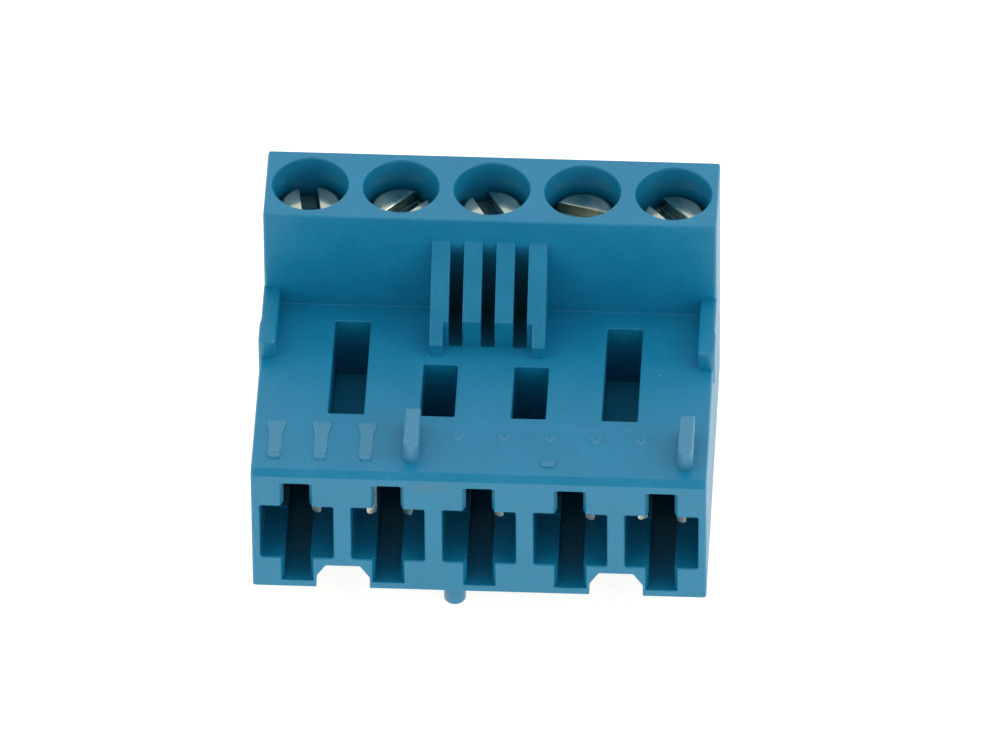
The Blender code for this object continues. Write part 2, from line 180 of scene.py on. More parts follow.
def rounded(points, radii, steps=CORNER_STEPS):
    """An outline with each corner turned into an arc of its own radius; 0 keeps it sharp."""
    made = []
    count = len(points)
    for index, radius in enumerate(radii):
        here = Vector(points[index])
        if radius <= 0:
            made.append(tuple(here))
            continue
        back = (Vector(points[index - 1]) - here).normalized()
        ahead = (Vector(points[(index + 1) % count]) - here).normalized()
        half_angle = back.angle(ahead) / 2
        reach = radius / math.tan(half_angle)
        centre = here + (back + ahead).normalized() * radius / math.sin(half_angle)
        start = here + back * reach - centre
        sweep = start.angle_signed(here + ahead * reach - centre)
        for step in range(steps + 1):
            turn = -sweep * step / steps
            x = start.x * math.cos(turn) - start.y * math.sin(turn)
            y = start.x * math.sin(turn) + start.y * math.cos(turn)
            made.append((centre.x + x, centre.y + y))
    return made


def rectangle(x0, x1, y0, y1, radius=0.0, steps=3):
    corners = [(x0, y0), (x1, y0), (x1, y1), (x0, y1)]
    return rounded(corners, [radius] * 4, steps)


def circle(x, y, radius, steps):
    turns = [2 * math.pi * step / steps for step in range(steps)]
    return [(x + radius * math.cos(turn), y + radius * math.sin(turn)) for turn in turns]


def inset(outline, distance):
    """The outline moved inwards by a distance, or outwards if it is negative. It runs anticlockwise."""
    made = []
    count = len(outline)
    for index in range(count):
        here = Vector(outline[index])
        before = (here - Vector(outline[index - 1])).normalized()
        after = (Vector(outline[(index + 1) % count]) - here).normalized()
        normal_before = Vector((-before.y, before.x))
        normal_after = Vector((-after.y, after.x))
        mitre = (normal_before + normal_after).normalized()
        stretch = 1 / max(mitre.dot(normal_after), 0.3)
        made.append(tuple(here + mitre * distance * stretch))
    return made


# ---------------------------------------------------------------- solids

# How an outline's two numbers and its level become x, y and z
PLANES = {
    "XY": lambda a, b, level: (a, b, level),
    "YZ": lambda a, b, level: (level, a, b),
    "XZ": lambda a, b, level: (a, level, b),
}


def mesh_object(name, shape):
    """Puts a finished bmesh into a new object, in metres, with its faces pointing out."""
    bmesh.ops.recalc_face_normals(shape, faces=shape.faces)
    bmesh.ops.scale(shape, vec=(MM, MM, MM), verts=shape.verts)
    mesh = bpy.data.meshes.new(name)
    shape.to_mesh(mesh)
    shape.free()
    made = bpy.data.objects.new(name, mesh)
    bpy.context.scene.collection.objects.link(made)
    return made


def loft(name, rings):
    """A closed solid through rings of equally many points."""
    shape = bmesh.new()
    loops = [[shape.verts.new(point) for point in ring] for ring in rings]
    for lower, upper in zip(loops, loops[1:]):
        for index in range(len(lower)):
            before = index - 1
            shape.faces.new((lower[before], lower[index], upper[index], upper[before]))
    shape.faces.new(list(reversed(loops[0])))
    shape.faces.new(loops[-1])
    return mesh_object(name, shape)


def pillow(name, outline, plane, low, high, round_low=0.0, round_high=0.0, steps=3):
    """An outline extruded from one level to another, with a rounded rim at either end."""
    place = PLANES[plane]
    levels = []
    for end, radius, inward in ((low, round_low, 1), (high, round_high, -1)):
        side = []
        for step in range(steps + 1 if radius > 0 else 1):
            turn = math.pi / 2 * step / steps
            side.append((end + inward * radius * (1 - math.sin(turn)), radius * (1 - math.cos(turn))))
        levels += side[::-1] if inward > 0 else side
    return loft(
        name,
        [[place(a, b, level) for a, b in inset(outline, depth)] for level, depth in levels],
    )


def pocket(name, outline, plane, floor, mouth, rim=RIM):
    """A cutter for a blind hole: straight sides from its floor, and a small bevel at its mouth."""
    place = PLANES[plane]
    outward = 1 if mouth > floor else -1
    levels = (
        (floor, 0.0),
        (mouth - outward * rim, 0.0),
        (mouth + outward * OVERRUN, -(rim + OVERRUN)),
    )
    return loft(
        name,
        [[place(a, b, level) for a, b in inset(outline, depth)] for level, depth in levels],
    )


def turned(name, x, y, profile, steps=96):
    """A solid of revolution about an upright axis, from (radius, z) points."""
    return loft(name, [[(a, b, z) for a, b in circle(x, y, radius, steps)] for radius, z in profile])


def combine(target, others, operation):
    """Adds other solids to the target, or cuts them from it, and removes them."""
    tools = bpy.data.collections.new("tools")
    for other in others:
        tools.objects.link(other)
    modifier = target.modifiers.new("boolean", "BOOLEAN")
    modifier.operation = operation
    modifier.solver = "EXACT"
    modifier.operand_type = "COLLECTION"
    modifier.collection = tools
    bpy.context.view_layer.update()
    result = bpy.data.meshes.new_from_object(target.evaluated_get(bpy.context.evaluated_depsgraph_get()))
    target.modifiers.clear()
    spent = target.data
    target.data = result
    bpy.data.meshes.remove(spent)
    for other in others:
        bpy.data.objects.remove(other, do_unlink=True)
    bpy.data.collections.remove(tools)
    return target


def smooth(target, angle_deg=32.0, weighted=True):
    """Smooth shading that keeps hard edges, with flat faces kept flat."""
    target.data.shade_smooth()
    target.data.set_sharp_from_angle(angle=math.radians(angle_deg))
    if weighted:
        modifier = target.modifiers.new("flat_faces", "WEIGHTED_NORMAL")
        modifier.keep_sharp = True
    return target


# ---------------------------------------------------------------- housing


def rib_x(number):
    """The middle of coding place 1 to 2 * POLES, counted from -X."""
    return (number - (2 * POLES + 1) / 2) * RIB_PITCH


def shell_outline(depth):
    """The body's L-shaped side view, moved inwards by a depth."""
    corners = [
        (FRONT, 0.0),
        (REAR, 0.0),
        (REAR, TOP_Z),
        (WALL_Y, TOP_Z),
        (WALL_Y, TERRACE_Z),
        (FRONT + TERRACE_CHAMFER, TERRACE_Z),
        (FRONT, TERRACE_Z - TERRACE_CHAMFER),
    ]
    radii = [max(0.012, radius - depth) for radius in (0.12, 0.12, 0.1, 0.1, 0.0, 0.07, 0.07)]
    radii[4] = 0.03 + depth
    return rounded(inset(corners, depth), radii)


def shell():
    """The L-shaped body, with soft corners and softly rounded sides."""
    rings = []
    for step in range(SIDE_STEPS + 1):
        turn = math.pi / 2 * step / SIDE_STEPS
        x = HALF_WIDTH - SIDE_ROUND * (1 - math.sin(turn))
        depth = SIDE_ROUND * (1 - math.cos(turn))
        rings.append((x, shell_outline(depth)))
    # From the flat left side, round to the straight middle, and round again to the flat right side
    levels = [(-x, outline) for x, outline in rings[::-1]] + rings
    return loft("moulded_housing", [[(x, y, z) for y, z in outline] for x, outline in levels])


def coding_recess():
    """The front strip of the terrace lies a hair lower than the rest."""
    outline = [
        (FRONT - OVERRUN, TERRACE_Z - CODING_STEP),
        (RIB_REAR, TERRACE_Z - CODING_STEP),
        (RIB_REAR + CODING_RAMP, TERRACE_Z),
        (RIB_REAR + CODING_RAMP, TERRACE_Z + OVERRUN),
        (FRONT - OVERRUN, TERRACE_Z + OVERRUN),
    ]
    return pillow("coding_recess", outline, "YZ", -HALF_WIDTH - 1, HALF_WIDTH + 1)


def fins():
    made = []
    slope_down = [
        (WALL_Y + ROOT, TERRACE_Z - ROOT),
        (WALL_Y + ROOT, TERRACE_Z + FIN_HEIGHT),
        (WALL_Y, TERRACE_Z + FIN_HEIGHT),
        (WALL_Y - FIN_REACH, TERRACE_Z + FIN_FOOT_HEIGHT),
        (WALL_Y - FIN_REACH, TERRACE_Z - ROOT),
    ]
    fin = rounded(slope_down, [0, 0, 0, FIN_NOSE_ROUND, 0])
    for place in FIN_PLACES:
        middle = place * FIN_PITCH
        left = middle - FIN_WIDTH / 2
        made.append(pillow("fin", fin, "YZ", left, left + FIN_WIDTH, FIN_ROUND, FIN_ROUND, 2))
    slope = (FIN_HEIGHT - FIN_FOOT_HEIGHT) / FIN_REACH
    toe = rounded(
        [
            (WALL_Y + ROOT, TERRACE_Z - ROOT),
            (WALL_Y + ROOT, TERRACE_Z + FIN_HEIGHT),
            (WALL_Y, TERRACE_Z + FIN_HEIGHT - TOE_CLEARANCE),
            (WALL_Y - FIN_TOE_REACH, TERRACE_Z + FIN_HEIGHT - slope * FIN_TOE_REACH - TOE_CLEARANCE),
            (WALL_Y - FIN_TOE_REACH, TERRACE_Z - ROOT),
        ],
        [0, 0, 0, FIN_NOSE_ROUND, 0],
    )
    outer_edge = 1.5 * FIN_PITCH + FIN_WIDTH / 2 - 0.002
    for side in (-1, 1):
        ends = sorted((side * outer_edge, side * (outer_edge - FIN_TOE_WIDTH)))
        made.append(pillow("fin_toe", toe, "YZ", ends[0], ends[1], FIN_ROUND, FIN_ROUND, 2))
    return made


def ears():
    made = []
    outer = HALF_WIDTH + EAR_PROUD
    bulged = HALF_WIDTH + EAR_BULGE - 0.005
    inner = HALF_WIDTH - EAR_WIDTH
    front = WALL_Y - EAR_LENGTH
    corners = [
        (inner, WALL_Y + ROOT),
        (inner, front),
        (bulged, front),
        (bulged, front + EAR_BULGE_LENGTH),
        (outer, front + EAR_BULGE_LENGTH + 0.4),
        (outer, WALL_Y + ROOT),
    ]
    radii = [0, 0.3, 0.3, 0.5, 0.5, 0]
    for side in (-1, 1):
        outline = [(side * x, y) for x, y in rounded(corners, radii)]
        if side < 0:
            outline.reverse()
        made.append(
            pillow("ear", outline, "XY", TERRACE_Z - EAR_FOOT, TERRACE_Z + EAR_HEIGHT, 0.0, 0.12, 3)
        )
    return made


def rib_outline(width, length, rear_width=None, steps=10):
    """A rib in plan, at the origin's rear: a half-round nose in front, and a square rear end."""
    half = width / 2
    rear_half = (rear_width or width) / 2
    nose = []
    for step in range(steps + 1):
        turn = math.pi + math.pi * step / steps
        nose.append((half * math.cos(turn), half - length + half * math.sin(turn)))
    rear = [(half, -0.9), (rear_half, -0.35), (rear_half, 0.0), (-rear_half, 0.0), (-rear_half, -0.35)]
    return nose + rear + [(-half, -0.9)]


def coding_ribs():
    made = []
    floor = TERRACE_Z - CODING_STEP - ROOT
    for number in WHOLE_RIBS:
        outline = [(rib_x(number) + x, RIB_REAR + y) for x, y in rib_outline(RIB_WIDTH, RIB_LENGTH)]
        made.append(pillow("rib", outline, "XY", floor, TERRACE_Z + RIB_HEIGHT - 0.01, 0.0, 0.12, 4))
    for number in BROKEN_RIBS:
        stub = rib_outline(STUB_WIDTH, RIB_LENGTH - 0.05, STUB_REAR_WIDTH)
        outline = [(rib_x(number) + x, RIB_REAR + y) for x, y in stub]
        made.append(pillow("stub", outline, "XY", floor, TERRACE_Z + STUB_HEIGHT, 0.0, 0.06, 2))
        nose = RIB_REAR - RIB_LENGTH + 0.1
        pad = rectangle(rib_x(number) - 0.34, rib_x(number) + 0.34, nose, nose + 0.42, 0.14)
        made.append(pillow("stub_pad", pad, "XY", floor, TERRACE_Z + STUB_PAD_HEIGHT, 0.0, 0.1, 3))
    for number in TRACE_RIBS:
        rear = RIB_REAR - 0.55
        for lean in (-1, 1):
            near = rib_x(number)
            arm = [(near - 0.1, rear - 0.6), (near + 0.1, rear - 0.6)]
            arm += [(near + lean * 0.28 + 0.13, rear), (near + lean * 0.28 - 0.13, rear)]
            made.append(pillow("trace", arm, "XY", floor, TERRACE_Z + TRACE_HEIGHT, 0.0, 0.03, 2))
    nose = RIB_REAR - RIB_LENGTH - 0.05
    middle = rib_x(TRACE_PAD_RIB)
    pad = rectangle(middle - 0.38, middle + 0.38, nose, nose + 0.5, 0.12)
    made.append(pillow("trace_pad", pad, "XY", floor, TERRACE_Z + TRACE_PAD_HEIGHT, 0.0, 0.08, 3))
    return made


def key_peg():
    profile = [
        (PEG_RADIUS - 0.12, -PEG_LENGTH),
        (PEG_RADIUS - 0.04, -PEG_LENGTH + 0.04),
        (PEG_RADIUS, -PEG_LENGTH + 0.12),
        (PEG_RADIUS, -0.1),
        (PEG_RADIUS + 0.1, 0.0),
        (PEG_RADIUS + 0.1, ROOT),
    ]
    return turned("peg", PEG_X, PEG_Y, profile, 48)


def pole_cutters(number):
    """One pole's passage from the mating face to the wire side, and its screw hole."""
    middle = pole_axis(number)[0]

    def across(width, low_z, high_z, radius=0.08):
        return rectangle(middle - width / 2, middle + width / 2, low_z, high_z, radius)

    mouth_rear = FRONT + MOUTH_REACH
    slot_half = BLADE_SLOT_WIDTH / 2
    lead_half = slot_half + BLADE_LEAD_IN
    spread = BLADE_LEAD_IN / BLADE_LEAD_REACH * OVERRUN
    lead_in = [
        (middle - slot_half, FRONT + BLADE_LEAD_REACH),
        (middle - lead_half - spread, FRONT - OVERRUN),
        (middle + lead_half + spread, FRONT - OVERRUN),
        (middle + slot_half, FRONT + BLADE_LEAD_REACH),
    ]
    made = [
        pocket(
            "mouth", across(MOUTH_WIDTH, MOUTH_LOW_Z, MOUTH_HIGH_Z, 0.12), "XZ", mouth_rear, FRONT
        ),
        pocket(
            "blade_slot",
            across(BLADE_SLOT_WIDTH, BLADE_SLOT_LOW_Z, BLADE_SLOT_HIGH_Z),
            "XZ",
            FRONT + BLADE_SLOT_REACH,
            FRONT,
            0.03,
        ),
        pillow("lead_in", lead_in, "XY", BLADE_SLOT_LOW_Z + 0.01, BLADE_SLOT_HIGH_Z - 0.01),
        pillow(
            "flare_room",
            across(FLARE_ROOM_WIDTH, FLARE_ROOM_LOW_Z, CHAMBER_HIGH_Z - 0.05),
            "XZ",
            FRONT + LIP,
            mouth_rear - 0.05,
        ),
        pillow(
            "chamber",
            across(CHAMBER_WIDTH, CHAMBER_LOW_Z, CHAMBER_HIGH_Z),
            "XZ",
            mouth_rear - OVERRUN,
            CAGE_ROOM_FRONT + OVERRUN,
        ),
        pocket(
            "cage_room",
            across(CAGE_ROOM_WIDTH, CAGE_ROOM_LOW_Z, CAGE_ROOM_HIGH_Z, 0.2),
            "XZ",
            CAGE_ROOM_FRONT,
            REAR,
            WIRE_LEAD_IN,
        ),
    ]
    shank_hole = [
        (SHANK_HOLE_RADIUS, CAGE_ROOM_HIGH_Z - OVERRUN),
        (SHANK_HOLE_RADIUS, SHELF_TOP_Z + OVERRUN),
    ]
    access_hole = [
        (ACCESS_RADIUS - 0.02, SHELF_TOP_Z),
        (ACCESS_RADIUS - 0.02, TOP_Z - 0.07),
        (ACCESS_RADIUS - 0.01, TOP_Z - 0.05),
        (ACCESS_RADIUS + 0.03, TOP_Z),
        (ACCESS_RADIUS + 0.03 + OVERRUN, TOP_Z + OVERRUN),
    ]
    made.append(turned("shank_hole", middle, SCREW_Y, shank_hole))
    made.append(turned("access_hole", middle, SCREW_Y, access_hole))
    return made


def terrace_cutters():
    made = []
    floor = TERRACE_Z - CORE_DEPTH
    for side in (-1, 1):
        long_x = side * 1.5 * PITCH
        short_x = side * 0.5 * PITCH
        half = LONG_CORE_WIDTH / 2
        outline = rectangle(long_x - half, long_x + half, CORE_FRONT, LONG_CORE_REAR, 0.08)
        made.append(pocket("long_core", outline, "XY", floor, TERRACE_Z, 0.04))
        half = SHORT_CORE_WIDTH / 2
        outline = rectangle(short_x - half, short_x + half, CORE_FRONT, SHORT_CORE_REAR, 0.08)
        made.append(pocket("short_core", outline, "XY", floor, TERRACE_Z, 0.04))
    gap_half = (FIN_PITCH - FIN_WIDTH) / 2 - 0.02
    top = TERRACE_Z + FIN_HEIGHT
    gap = [
        (WALL_Y - FIN_REACH - 0.1, TERRACE_Z - FIN_GAP_DEPTH),
        (WALL_Y + FIN_GAP_DEPTH, TERRACE_Z - FIN_GAP_DEPTH),
        (WALL_Y + FIN_GAP_DEPTH, top - 1.5),
        (WALL_Y - 0.02, top - 0.1),
        (WALL_Y - FIN_REACH - 0.1, TERRACE_Z + FIN_FOOT_HEIGHT),
    ]
    for place in (-1, 0, 1):
        middle = place * FIN_PITCH
        made.append(pillow("fin_gap", gap, "YZ", middle - gap_half, middle + gap_half))
    return made


def grooves():
    half = GROOVE_WIDTH / 2
    shoulder = half - GROOVE_CORNER_WIDTH
    shoulder_z = GROOVE_HEIGHT - GROOVE_CORNER_HEIGHT
    corners = [
        (-half, -OVERRUN),
        (half, -OVERRUN),
        (half, shoulder_z),
        (shoulder, GROOVE_HEIGHT),
        (-shoulder, GROOVE_HEIGHT),
        (-half, shoulder_z),
    ]
    outline = rounded(corners, [0, 0, 0.2, 0.15, 0.15, 0.2])
    made = []
    for side in (-1, 1):
        moved = [(side * 1.5 * PITCH + x, z) for x, z in outline]
        made.append(pocket("groove", moved, "XZ", FRONT + GROOVE_REACH, FRONT, 0.05))
    return made


def whiten_ribs(housing):
    """Marks the faces of the ribs and their stubs, where broken or rubbed plastic has gone pale."""
    mark = housing.data.attributes.new("whitening", "FLOAT", "FACE")
    amounts = {number: WHITENING[2] for number in TRACE_RIBS}
    amounts.update({number: WHITENING[1] for number in BROKEN_RIBS})
    amounts.update({number: WHITENING[0] for number in WHOLE_RIBS})
    for index, face in enumerate(housing.data.polygons):
        x, y, z = face.center / MM
        raised = z > TERRACE_Z - CODING_STEP / 2 and FRONT + TERRACE_CHAMFER < y < RIB_REAR + 0.01
        if not raised:
            continue
        for number, amount in amounts.items():
            if abs(x - rib_x(number)) < RIB_WIDTH * 0.7:
                mark.data[index].value = amount


def build_housing():
    housing = shell()
    combine(housing, [coding_recess()], "DIFFERENCE")
    combine(housing, fins() + ears() + coding_ribs() + [key_peg()], "UNION")
    cutters = terrace_cutters() + grooves()
    for number in range(1, POLES + 1):
        cutters += pole_cutters(number)
    combine(housing, cutters, "DIFFERENCE")
    whiten_ribs(housing)
    smooth(housing)
    dress(housing, "housing", "housing", blue_plastic())


# ---------------------------------------------------------------- screws


HEAD_SLOT_WIDTH = 0.95
HEAD_SLOT_DEPTH = 0.85
SLOT_TURNS_DEG = (9.0, -43.0, 28.0, 75.0, 42.0)
HEAD_HEIGHT = 1.27
THREAD_PITCH = 0.5
THREAD_CREST = 1.38
THREAD_ROOT = 1.16
THREAD_STEPS = 48
THREAD_LEVELS_PER_TURN = 12


def threaded_shank(low_z, high_z):
    """A closed, right-handed threaded rod on the z axis."""
    rings = [[(a, b, low_z) for a, b in circle(0, 0, THREAD_ROOT - 0.2, THREAD_STEPS)]]
    count = int((high_z - low_z) / THREAD_PITCH * THREAD_LEVELS_PER_TURN)
    for level in range(count + 1):
        z = low_z + (high_z - low_z) * level / count
        fade = min(1.0, (z - low_z + 0.05) / 0.5)
        ring = []
        for step in range(THREAD_STEPS):
            turn = 2 * math.pi * step / THREAD_STEPS
            phase = (z / THREAD_PITCH - turn / (2 * math.pi)) % 1.0
            ridge = min(1.0, max(0.0, 1.35 - 3.0 * abs(phase - 0.5)))
            radius = THREAD_ROOT + (THREAD_CREST - THREAD_ROOT) * ridge * fade - 0.12 * (1 - fade)
            ring.append((radius * math.cos(turn), radius * math.sin(turn), z))
        rings.append(ring)
    return loft("thread", rings)


def build_screw(number, metal):
    low, high = node_box(f"terminal_screw_{number}")
    x, y = pole_axis(number)
    radius = (high.x - low.x) / 2
    top = high.z
    base = top - HEAD_HEIGHT
    profile = [
        (THREAD_ROOT, base - 0.3),
        (THREAD_ROOT, base + 0.02),
        (radius - 0.12, base),
        (radius - 0.03, base + 0.03),
        (radius, base + 0.12),
        (radius, top - 0.22),
        (radius - 0.03, top - 0.14),
        (radius - 0.13, top - 0.04),
        (radius - 0.2, top - 0.01),
        (radius - 0.28, top),
        (0.3, top),
    ]
    head = turned(f"slotted_screw_{number}", 0, 0, profile, 96)
    half = HEAD_SLOT_WIDTH / 2
    floor = top - HEAD_SLOT_DEPTH
    slot = [
        (-half, floor + 0.08),
        (-half + 0.08, floor),
        (half - 0.08, floor),
        (half, floor + 0.08),
        (half, top - 0.05),
        (half + 0.3, top + 0.25),
        (-half - 0.3, top + 0.25),
        (-half, top - 0.05),
    ]
    combine(head, [threaded_shank(low.z, base + 0.01 - 0.1)], "UNION")
    combine(head, [pillow("slot", slot, "XZ", -radius - OVERRUN, radius + OVERRUN)], "DIFFERENCE")
    turn = math.radians(SLOT_TURNS_DEG[number - 1])
    head.data.transform(Matrix.Rotation(turn, 4, "Z"))
    head.location = (x * MM, y * MM, 0.0)
    smooth(head, 28.0)
    dress(head, f"terminal_screw_{number}", f"terminal_screw_{number}", metal)


# ---------------------------------------------------------------- clamp cages


CAGE_WALL = 0.48
CAGE_FLOOR = 0.7
CAGE_HEAD = 1.5
CAGE_BORE = 1.43
CAGE_BEND = 0.45
GRIP_PITCH = 0.6


def build_cage(number, metal):
    """A box bent from strip: rounded bends, a tapped head, and a grooved floor that grips the wire."""
    low, high = node_box(f"clamp_cage_{number}")
    middle = (low + high) / 2
    outer = rectangle(low.x, high.x, low.z, high.z, CAGE_BEND, 5)
    cage = pillow(f"clamp_cage_body_{number}", outer, "XZ", low.y, high.y, 0.06, 0.06, 2)
    window = rectangle(
        low.x + CAGE_WALL, high.x - CAGE_WALL, low.z + CAGE_FLOOR, high.z - CAGE_HEAD, 0.15
    )
    cutters = [pillow("window", window, "XZ", low.y - OVERRUN, high.y + OVERRUN)]
    bore = [
        (CAGE_BORE, high.z - CAGE_HEAD - OVERRUN),
        (CAGE_BORE, high.z - 0.15),
        (CAGE_BORE + 0.15 + OVERRUN, high.z + OVERRUN),
    ]
    cutters.append(turned("bore", middle.x, middle.y, bore, 64))
    seam = [(low.x - OVERRUN, -0.03), (low.x + CAGE_WALL + 0.1, -0.03)]
    seam += [(low.x + CAGE_WALL + 0.1, 0.03), (low.x - OVERRUN, 0.03)]
    level = high.z - CAGE_HEAD - 0.35
    seam_cut = [(a, level + b) for a, b in seam]
    cutters.append(pillow("seam", seam_cut, "XZ", low.y - OVERRUN, high.y + OVERRUN))
    groove_z = low.z + CAGE_FLOOR
    for step in (-2, -1, 0, 1, 2):
        y = middle.y + step * GRIP_PITCH
        vee = [(y - 0.14, groove_z + 0.02), (y, groove_z - 0.12), (y + 0.14, groove_z + 0.02)]
        cutters.append(
            pillow("grip", vee, "YZ", low.x + CAGE_WALL + 0.2, high.x - CAGE_WALL - 0.2)
        )
    combine(cage, cutters, "DIFFERENCE")
    smooth(cage)
    dress(cage, f"clamp_cage_{number}", f"clamp_cage_{number}", metal)


# ---------------------------------------------------------------- contacts and helper springs


LEAF_THICKNESS = 0.35
# Half the gap between the leaves at each distance behind the mating face
LEAF_GAPS = (
    (0.85, 1.38),
    (1.30, 0.79),
    (1.50, 0.75),
    (1.80, 0.73),
    (2.60, 0.70),
    (3.40, 0.38),
    (3.70, 0.36),
    (4.20, 0.38),
    (6.60, 0.50),
    (7.20, 0.62),
    (7.80, 0.80),
    (8.80, 0.80),
)
# The distance over which a leaf's slope is taken
SLOPE_STEP = 0.2
LAMELLA_LOW_Z = 4.64
LAMELLA_REACH = 0.9
LOWER_LAMELLA_REACH = 5.5
LOWER_LAMELLA_HIGH_Z = 4.25
LEAF_ROOT_REACHES = (6.7, 8.79)
# How far an upper lamella's lower edge climbs behind its flared end, and between which distances
LAMELLA_CLIMB = 0.55
CLIMB_REACHES = (1.4, 2.3)
BAR_LOW_Z = 6.0
BAR_HIGH_Z = 6.8
BAR_HALF_WIDTH = 1.13
BAR_REACH = 8.0
SPRING_THICKNESS = 0.25
# Leaves that sit off their place, by (pole, side): sideways, and at the foot of the upper lamella
LEAF_SHIFTS = {(2, -1): 0.14}
LAMELLA_LIFTS = {(1, -1): 0.5, (3, -1): 0.5, (4, -1): 0.5, (5, -1): 0.15, (3, 1): 0.08}


def between(stations, where):
    """The value at a place, straight between the (place, value) stations."""
    for (start, first), (end, second) in zip(stations, stations[1:]):
        if where <= end:
            return first + (second - first) * (where - start) / (end - start)
    return stations[-1][1]


def leaf_strip(name, middle, side, reach_from, reach_to, low_z, high_z, tip_round, climb=0.0, steps=36):
    """One strip of a leaf between two distances behind the mating face, with a rounded front end."""
    rings = []
    for step in range(steps + 1):
        share = (step / steps) ** 1.6
        reach = reach_from + (reach_to - reach_from) * share
        gap = between(LEAF_GAPS, reach)
        ahead = between(LEAF_GAPS, reach + SLOPE_STEP)
        behind = between(LEAF_GAPS, max(reach - SLOPE_STEP, LEAF_GAPS[0][0]))
        slope = math.atan2(ahead - behind, 0.4 if reach > LEAF_GAPS[0][0] + SLOPE_STEP else 0.25)
        across = (LEAF_THICKNESS * math.cos(slope), -LEAF_THICKNESS * math.sin(slope))
        into = max(0.0, 1 - (reach - reach_from) / tip_round)
        trim = tip_round * (1 - math.sqrt(max(0.0, 1 - into * into)))
        trim = min(trim, (high_z - low_z) * 0.42)
        inner = (middle + side * gap, FRONT + reach)
        outer = (middle + side * (gap + across[0]), FRONT + reach + across[1])
        climbed = (reach - CLIMB_REACHES[0]) / (CLIMB_REACHES[1] - CLIMB_REACHES[0])
        low = low_z + trim + climb * min(1.0, max(0.0, climbed))
        high = high_z - trim
        rings.append([(*inner, low), (*outer, low), (*outer, high), (*inner, high)])
    return loft(name, rings)


def build_contact(number, metal):
    """Twin leaves with flared upper and set-back lower lamellae, on a bar that runs through the cage."""
    low, high = node_box(f"contact_{number}")
    middle = pole_axis(number)[0]
    bar = rectangle(middle - BAR_HALF_WIDTH, middle + BAR_HALF_WIDTH, BAR_LOW_Z, BAR_HIGH_Z, 0.17)
    contact = pillow(f"tab_contact_{number}", bar, "XZ", FRONT + BAR_REACH, high.y, 0.05, 0.15, 3)
    strips = []
    for side in (-1, 1):
        place = middle + LEAF_SHIFTS.get((number, side), 0.0)
        foot = LAMELLA_LOW_Z + LAMELLA_LIFTS.get((number, side), 0.0)
        upper = (LAMELLA_REACH, BAR_REACH, foot, high.z, 0.35, LAMELLA_CLIMB)
        lower = (LOWER_LAMELLA_REACH, BAR_REACH, low.z, LOWER_LAMELLA_HIGH_Z, 0.5)
        strips.append(leaf_strip("upper", place, side, *upper))
        strips.append(leaf_strip("lower", middle, side, *lower))
        strips.append(leaf_strip("root", middle, side, *LEAF_ROOT_REACHES, low.z, high.z, 0.01))
    combine(contact, strips, "UNION")
    grips = []
    for step in range(5):
        y = SCREW_Y - 1.2 + GRIP_PITCH * step
        vee = [(y - 0.12, BAR_LOW_Z - 0.02), (y + 0.12, BAR_LOW_Z - 0.02), (y, BAR_LOW_Z + 0.1)]
        grips.append(pillow("grip", vee, "YZ", middle - 0.9, middle + 0.9))
    combine(contact, grips, "DIFFERENCE")
    smooth(contact)
    dress(contact, f"contact_{number}", "housing", metal)


def build_spring(number, metal):
    """The steel arch over both leaves, with a window in its roof."""
    low, high = node_box(f"helper_spring_{number}")
    outer = [(low.x, low.z), (high.x, low.z), (high.x, high.z), (low.x, high.z)]
    outer = rounded(outer, [0, 0, 0.5, 0.5])
    spring = pillow(f"over_spring_{number}", outer, "XZ", low.y, high.y, 0.03, 0.03, 2)
    inner = [
        (low.x + SPRING_THICKNESS, low.z - OVERRUN),
        (high.x - SPRING_THICKNESS, low.z - OVERRUN),
        (high.x - SPRING_THICKNESS, high.z - SPRING_THICKNESS),
        (low.x + SPRING_THICKNESS, high.z - SPRING_THICKNESS),
    ]
    inner = rounded(inner, [0, 0, 0.25, 0.25])
    relief = rectangle(low.x + 0.75, high.x - 0.75, low.y + 0.7, high.y - 0.7, 0.2)
    cutters = [
        pillow("inside", inner, "XZ", low.y - OVERRUN, high.y + OVERRUN),
        pillow("relief", relief, "XY", high.z - 0.6, high.z + OVERRUN),
    ]
    combine(spring, cutters, "DIFFERENCE")
    smooth(spring)
    dress(spring, f"helper_spring_{number}", "housing", metal)


# ---------------------------------------------------------------- shader groups


def new_group(name, inputs, outputs):
    """A shader node group with named sockets: (name, type, default) and (name, type)."""
    group = bpy.data.node_groups.new(name, "ShaderNodeTree")
    for label, kind, value in inputs:
        socket = group.interface.new_socket(name=label, in_out="INPUT", socket_type=kind)
        socket.default_value = value
    for label, kind in outputs:
        group.interface.new_socket(name=label, in_out="OUTPUT", socket_type=kind)
    nodes = group.nodes
    return group, nodes, group.links, nodes.new("NodeGroupInput"), nodes.new("NodeGroupOutput")


def noise(nodes, links, vector, scale_socket, detail, roughness=0.5):
    made = nodes.new("ShaderNodeTexNoise")
    made.inputs["Detail"].default_value = detail
    made.inputs["Roughness"].default_value = roughness
    links.new(vector, made.inputs["Vector"])
    if scale_socket is not None:
        links.new(scale_socket, made.inputs["Scale"])
    return made


def remap(nodes, links, value, from_low, from_high, to_low, to_high):
    made = nodes.new("ShaderNodeMapRange")
    made.inputs["From Min"].default_value = from_low
    made.inputs["From Max"].default_value = from_high
    made.inputs["To Min"].default_value = to_low
    made.inputs["To Max"].default_value = to_high
    links.new(value, made.inputs["Value"])
    return made.outputs["Result"]


def maths(nodes, links, operation, first, second):
    made = nodes.new("ShaderNodeMath")
    made.operation = operation
    for socket, value in zip(made.inputs, (first, second)):
        if isinstance(value, (int, float)):
            socket.default_value = value
        else:
            links.new(value, socket)
    return made.outputs["Value"]


